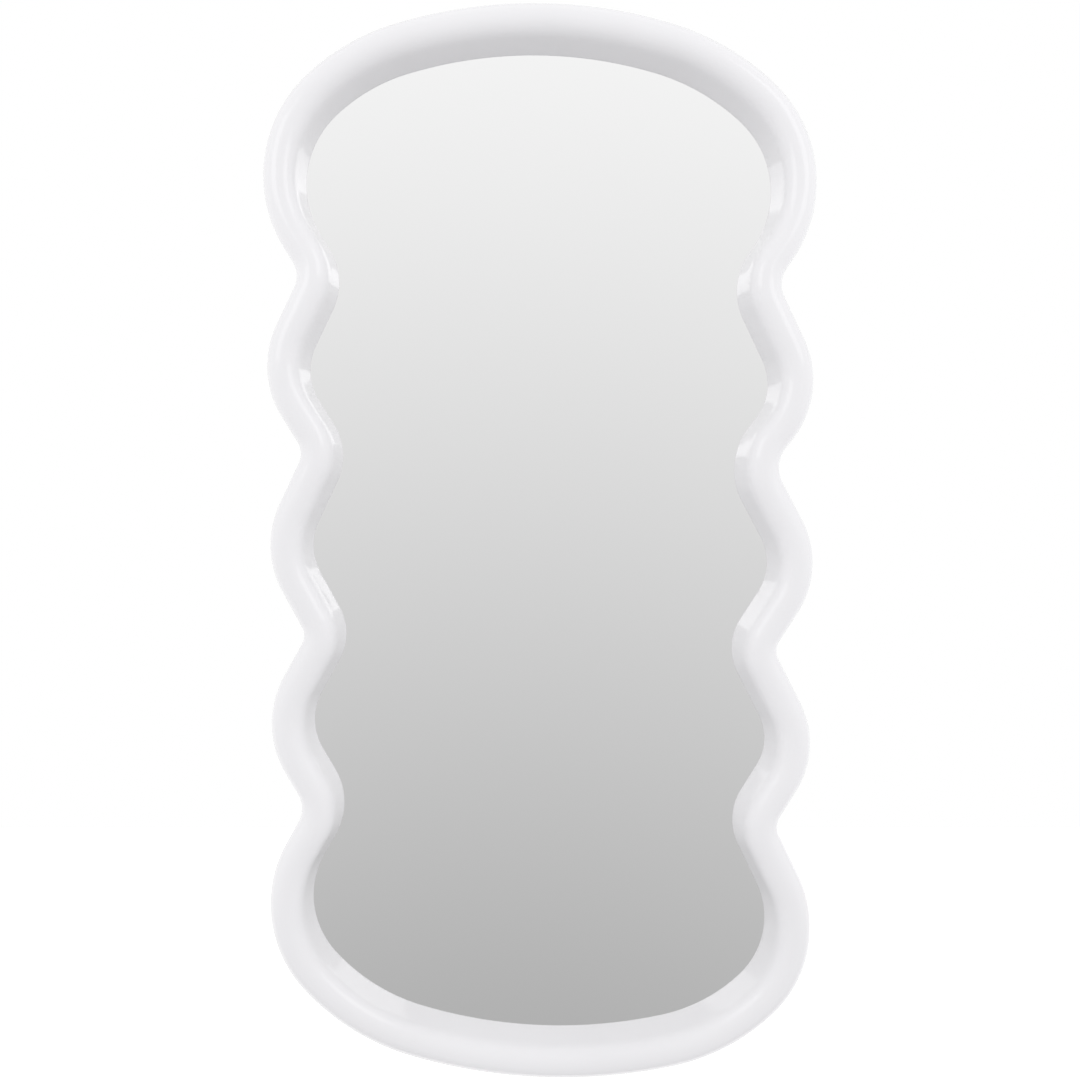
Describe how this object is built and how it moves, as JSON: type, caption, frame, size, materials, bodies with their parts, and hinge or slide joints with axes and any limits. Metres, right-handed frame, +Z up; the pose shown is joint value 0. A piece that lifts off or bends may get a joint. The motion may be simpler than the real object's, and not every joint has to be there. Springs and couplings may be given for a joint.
{
  "type": "irregular shaped mirror",
  "caption": "Tall wall mirror with an uneven wavy outline, a deep rounded glossy white frame, a sloped inner edge and hinged ring hangers on its back.",
  "frame": {"origin": "on the wall plane, midway between the two places where wall hooks carry the rings", "axes": "+Z up, -Y out of the wall towards the viewer, +X to the viewer's right"},
  "size_m": [0.8258, 0.0779, 1.6],
  "materials": {
    "white_lacquer": "high gloss lacquer",
    "mirror_glass": "silvered glass, polished",
    "board": "hardboard, matte",
    "zinc_points": "plain steel",
    "zinc_screws": "bright zinc",
    "rubber_pads": "matte",
    "zinc_strap": "bright zinc",
    "ring_wire": "nickel plated",
    "rubber_bumpers": "matte"
  },
  "bodies": {
    "mirror_body": {"mirror_frame": "white_lacquer", "mirror_glass": "mirror_glass", "back_board": "board", "framing_points": "zinc_points", "setting_block_left": "rubber_pads", "setting_block_right": "rubber_pads", "edge_pad_left": "rubber_pads", "edge_pad_right": "rubber_pads", "hanger_strap_left": "zinc_strap", "hanger_strap_right": "zinc_strap", "hanger_screws": "zinc_screws", "wall_bumpers": "rubber_bumpers"},
    "left_ring": {"d_ring_left": "ring_wire"},
    "right_ring": {"d_ring_right": "ring_wire"}
  },
  "joints": [
    {"name": "left_ring_hinge", "type": "hinge", "parent": "mirror_body", "child": "left_ring", "pos_m": [-0.38771, -0.0043, -0.0224], "axis": [-1, 0, 0], "range_deg": [0, 176]},
    {"name": "right_ring_hinge", "type": "hinge", "parent": "mirror_body", "child": "right_ring", "pos_m": [0.38771, -0.0043, -0.0224], "axis": [-1, 0, 0], "range_deg": [0, 176]}
  ]
}
